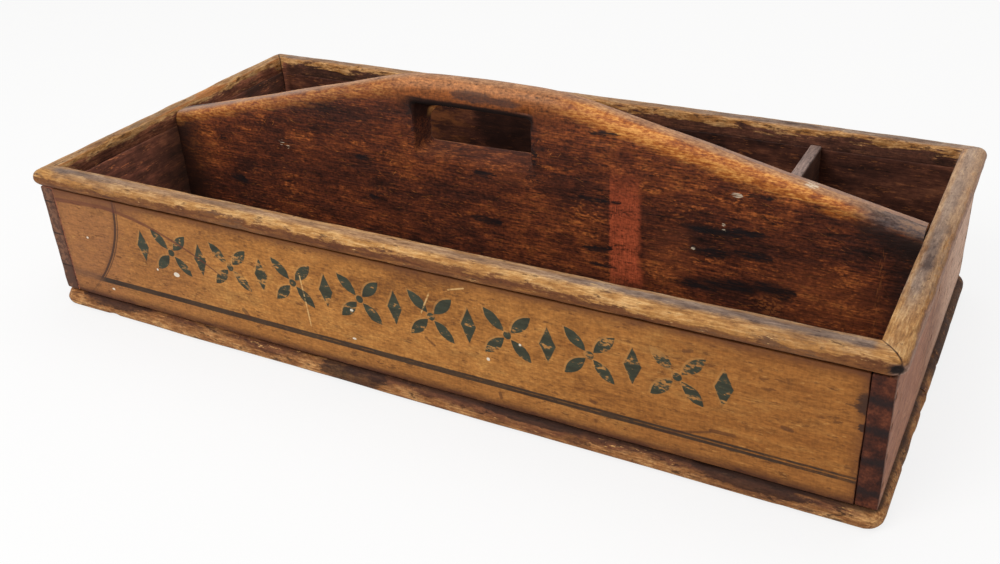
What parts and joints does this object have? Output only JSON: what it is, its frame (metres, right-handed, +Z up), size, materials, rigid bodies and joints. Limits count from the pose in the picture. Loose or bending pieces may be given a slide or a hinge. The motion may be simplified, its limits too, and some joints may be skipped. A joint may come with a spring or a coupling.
{
  "type": "wooden tote box",
  "caption": "Open nailed wooden tote box with a mitred nosed rim, an arched centre handle board with a hand hole, and a rear divider.",
  "frame": {"origin": "on the floor, under the middle of the box", "axes": "+X along the box to its right end, +Y to its back, +Z up; the painted front faces -Y"},
  "size_m": [0.742, 0.352, 0.205],
  "materials": {
    "front_paint": null,
    "side_paint": "matte pinkish-brown old finish on pine boards",
    "rim_wood": "grime-dulled rim, worn to golden wood along its rounded edge",
    "handle_wood": "dark red-brown streaked old stain with a hand-polished grip",
    "divider_wood": "dark stained thin board with a dusty grey top edge",
    "base_wood": "worn chipped planks, golden along the rounded edge and dark inside",
    "nail_iron": "rusted black iron cut nails"
  },
  "bodies": {
    "root": {"back_board": "side_paint", "base_nail_back_1": "nail_iron", "base_nail_back_2": "nail_iron", "base_nail_back_3": "nail_iron", "base_nail_back_4": "nail_iron", "base_nail_front_1": "nail_iron", "base_nail_front_2": "nail_iron", "base_nail_front_3": "nail_iron", "base_nail_front_4": "nail_iron", "base_nail_handle_1": "nail_iron", "base_nail_handle_2": "nail_iron", "base_nail_left_1": "nail_iron", "base_nail_left_2": "nail_iron", "base_nail_right_1": "nail_iron", "base_nail_right_2": "nail_iron", "base_plank_front": "base_wood", "base_plank_rear": "base_wood", "corner_nail_back_left_1": "nail_iron", "corner_nail_back_left_2": "nail_iron", "corner_nail_back_left_3": "nail_iron", "corner_nail_back_left_4": "nail_iron", "corner_nail_back_right_1": "nail_iron", "corner_nail_back_right_2": "nail_iron", "corner_nail_back_right_3": "nail_iron", "corner_nail_back_right_4": "nail_iron", "corner_nail_front_left_1": "nail_iron", "corner_nail_front_left_2": "nail_iron", "corner_nail_front_left_3": "nail_iron", "corner_nail_front_left_4": "nail_iron", "corner_nail_front_right_1": "nail_iron", "corner_nail_front_right_2": "nail_iron", "corner_nail_front_right_3": "nail_iron", "corner_nail_front_right_4": "nail_iron", "divider_nail_back_1": "nail_iron", "divider_nail_back_2": "nail_iron", "divider_nail_front_1": "nail_iron", "divider_nail_front_2": "nail_iron", "front_board": "front_paint", "handle_board": "handle_wood", "handle_nail_left_1": "nail_iron", "handle_nail_left_2": "nail_iron", "handle_nail_right_1": "nail_iron", "handle_nail_right_2": "nail_iron", "left_end_board": "side_paint", "rear_divider": "divider_wood", "right_end_board": "side_paint", "rim_back": "rim_wood", "rim_front": "rim_wood", "rim_left": "rim_wood", "rim_nail_back_1": "nail_iron", "rim_nail_back_2": "nail_iron", "rim_nail_back_3": "nail_iron", "rim_nail_front_1": "nail_iron", "rim_nail_front_2": "nail_iron", "rim_nail_front_3": "nail_iron", "rim_nail_left_1": "nail_iron", "rim_nail_left_2": "nail_iron", "rim_nail_right_1": "nail_iron", "rim_nail_right_2": "nail_iron", "rim_right": "rim_wood"}
  },
  "joints": []
}
